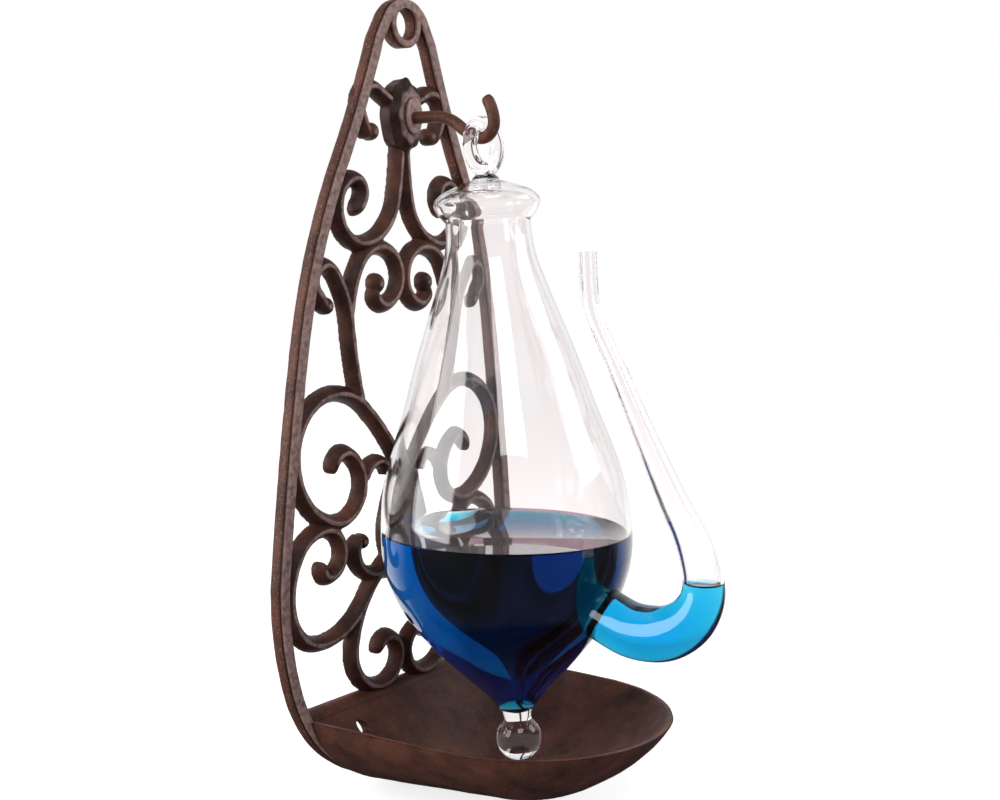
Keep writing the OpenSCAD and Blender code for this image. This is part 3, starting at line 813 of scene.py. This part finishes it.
bulb_water = filled_to(BULB_LEVEL, cavity(GLASS_T, WATER_TOP), "bulb_water")
bulb_water.data.materials.append(blue_water("deep blue water", DEEP_BLUE, DEEP_SHADED, lit_from=-31))
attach(bulb_water, "vessel")
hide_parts("bulb_liquid")
# The bulb's inside takes its share off the spout's water, and a hair more
SEAM = 0.05
spout_water = filled_to(SPOUT_LEVEL, spout_tube(SPOUT_T, 0, SPOUT_STEPS), "spout_water")
bulb_side = cavity(GLASS_T - SEAM)
bmesh.ops.transform(bulb_side, matrix=HUNG, verts=bulb_side.verts)
combined(spout_water, finished("bulb_side", bulb_side), "DIFFERENCE")
spout_water.data.materials.append(blue_water("bright blue water", BRIGHT_BLUE, BRIGHT_SHADED, lit_from=0))
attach(spout_water, "vessel")
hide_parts("spout_liquid")

# Room: a plain pale floor just under the dish and a white room round it, with three soft
# lamps. The camera and what looks through glass see floor and room lifted to white. What a
# surface throws back is white from behind only, so that the glass keeps dark reflections.
FLOOR_Z = -293.3
FLOOR_HALF = 4
FLOOR_PALE = (0.5, 0.5, 0.5, 1)
FLOOR_DIM = (0.06, 0.06, 0.06, 1)
GLOW_PALE = (0.78, 0.78, 0.78, 1)
GLOW_DIM = (0.02, 0.02, 0.03, 1)
ROOM_PALE = (1, 1, 1, 1)
ROOM_DIM = (0.08, 0.08, 0.09, 1)
ROOM_LIGHT = (0.42, 0.42, 0.43, 1)
TOWARDS_BACK = (0.78, 0.62, 0)


def highest(tree, value, *others):
    """The largest of several values."""
    for other in others:
        node = tree.nodes.new("ShaderNodeMath")
        node.operation = "MAXIMUM"
        tree.links.new(value, node.inputs[0])
        tree.links.new(other, node.inputs[1])
        value = node.outputs[0]
    return value


def seen_ray(tree):
    """1 for rays of the camera, of gloss and of glass, else 0."""
    path = tree.nodes.new("ShaderNodeLightPath")
    return highest(tree, *(path.outputs[f"Is {kind} Ray"] for kind in ("Camera", "Glossy", "Transmission")))


def pale_share(tree, way):
    """1, but less to the sides and the front for rays that a surface threw back."""
    even = tree.nodes.new("ShaderNodeVectorMath")
    even.operation = "NORMALIZE"
    tree.links.new(way, even.inputs[0])
    behind = ranged(tree, along(tree, even.outputs[0], TOWARDS_BACK), 0.15, 0.65)
    path = tree.nodes.new("ShaderNodeLightPath")
    not_glossy = ranged(tree, path.outputs["Is Glossy Ray"], 0, 1, 1, 0)
    return highest(tree, behind, not_glossy, path.outputs["Is Transmission Ray"])


world = bpy.data.worlds.new("room")
bpy.context.scene.world = world
world.use_nodes = True
tree = world.node_tree
sky = tree.nodes["Background"]
way = tree.nodes.new("ShaderNodeTexCoord")
seen_room = mixed(tree, pale_share(tree, way.outputs["Generated"]), ROOM_DIM, ROOM_PALE)
tree.links.new(mixed(tree, seen_ray(tree), ROOM_LIGHT, seen_room), sky.inputs["Color"])

mesh = bmesh.new()
bmesh.ops.create_grid(mesh, x_segments=2, y_segments=2, size=FLOOR_HALF)
floor = finished("floor", mesh)
floor.location.z = FLOOR_Z * MM
floor_paint = bpy.data.materials.new("floor paint")
floor_paint.use_nodes = True
tree = floor_paint.node_tree
shader = tree.nodes["Principled BSDF"]
shader.inputs["Roughness"].default_value = 0.9
shader.inputs["Specular IOR Level"].default_value = 0
place = tree.nodes.new("ShaderNodeTexCoord")
pale = pale_share(tree, place.outputs["Object"])
tree.links.new(mixed(tree, pale, FLOOR_DIM, FLOOR_PALE), shader.inputs["Base Color"])
tree.links.new(mixed(tree, pale, GLOW_DIM, GLOW_PALE), shader.inputs["Emission Color"])
tree.links.new(seen_ray(tree), shader.inputs["Emission Strength"])
floor.data.materials.append(floor_paint)

# Name, place in metres, width and watts of each lamp, which all face the middle of the flask
LIT_PLACE = Vector((0, -0.06, -0.15))
LAMPS = (
    ("key", (-0.8, -0.9, 1.1), 0.8, 12),
    ("side", (0.9, -1.1, 0.6), 0.8, 9),
    ("back", (-0.85, 0.6, 0.1), 0.9, 14),
)
for name, place, size, watts in LAMPS:
    lamp = bpy.data.objects.new(name, bpy.data.lights.new(name, "AREA"))
    lamp.data.size = size
    lamp.data.energy = watts
    lamp.location = place
    aim = LIT_PLACE - lamp.location
    lamp.rotation_euler = aim.to_track_quat("-Z", "Y").to_euler()
    bpy.context.scene.collection.objects.link(lamp)

bpy.context.scene.view_settings.view_transform = "Standard"
